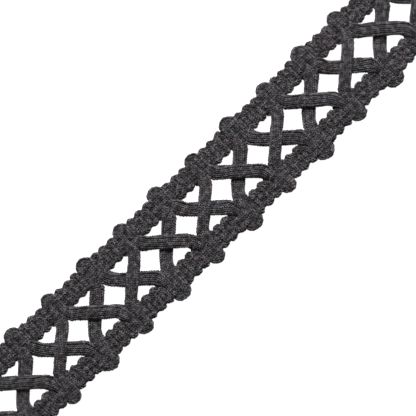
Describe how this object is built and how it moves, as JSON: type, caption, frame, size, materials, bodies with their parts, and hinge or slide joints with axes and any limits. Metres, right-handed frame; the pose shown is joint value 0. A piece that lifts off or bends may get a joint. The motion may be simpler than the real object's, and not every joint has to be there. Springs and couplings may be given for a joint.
{
  "type": "openwork braid trim",
  "caption": "Flat length of openwork braid trim: ribbed headings joined by knitted cords that zigzag, cross and turn in small loops at the edges, for sewing or gluing to cloth.",
  "frame": {"origin": "under the middle of the length, on the surface that the braid lies on", "axes": "+X along the braid, +Y across it from the lower to the upper heading, +Z out of its face"},
  "size_m": [0.2582, 0.0398, 0.0055],
  "materials": {
    "yarn": "matte heathered charcoal knitted yarn"
  },
  "bodies": {
    "root": {"upper_heading": "yarn", "lower_heading": "yarn", "over_lattice_cord": "yarn", "under_lattice_cord": "yarn"}
  },
  "joints": []
}
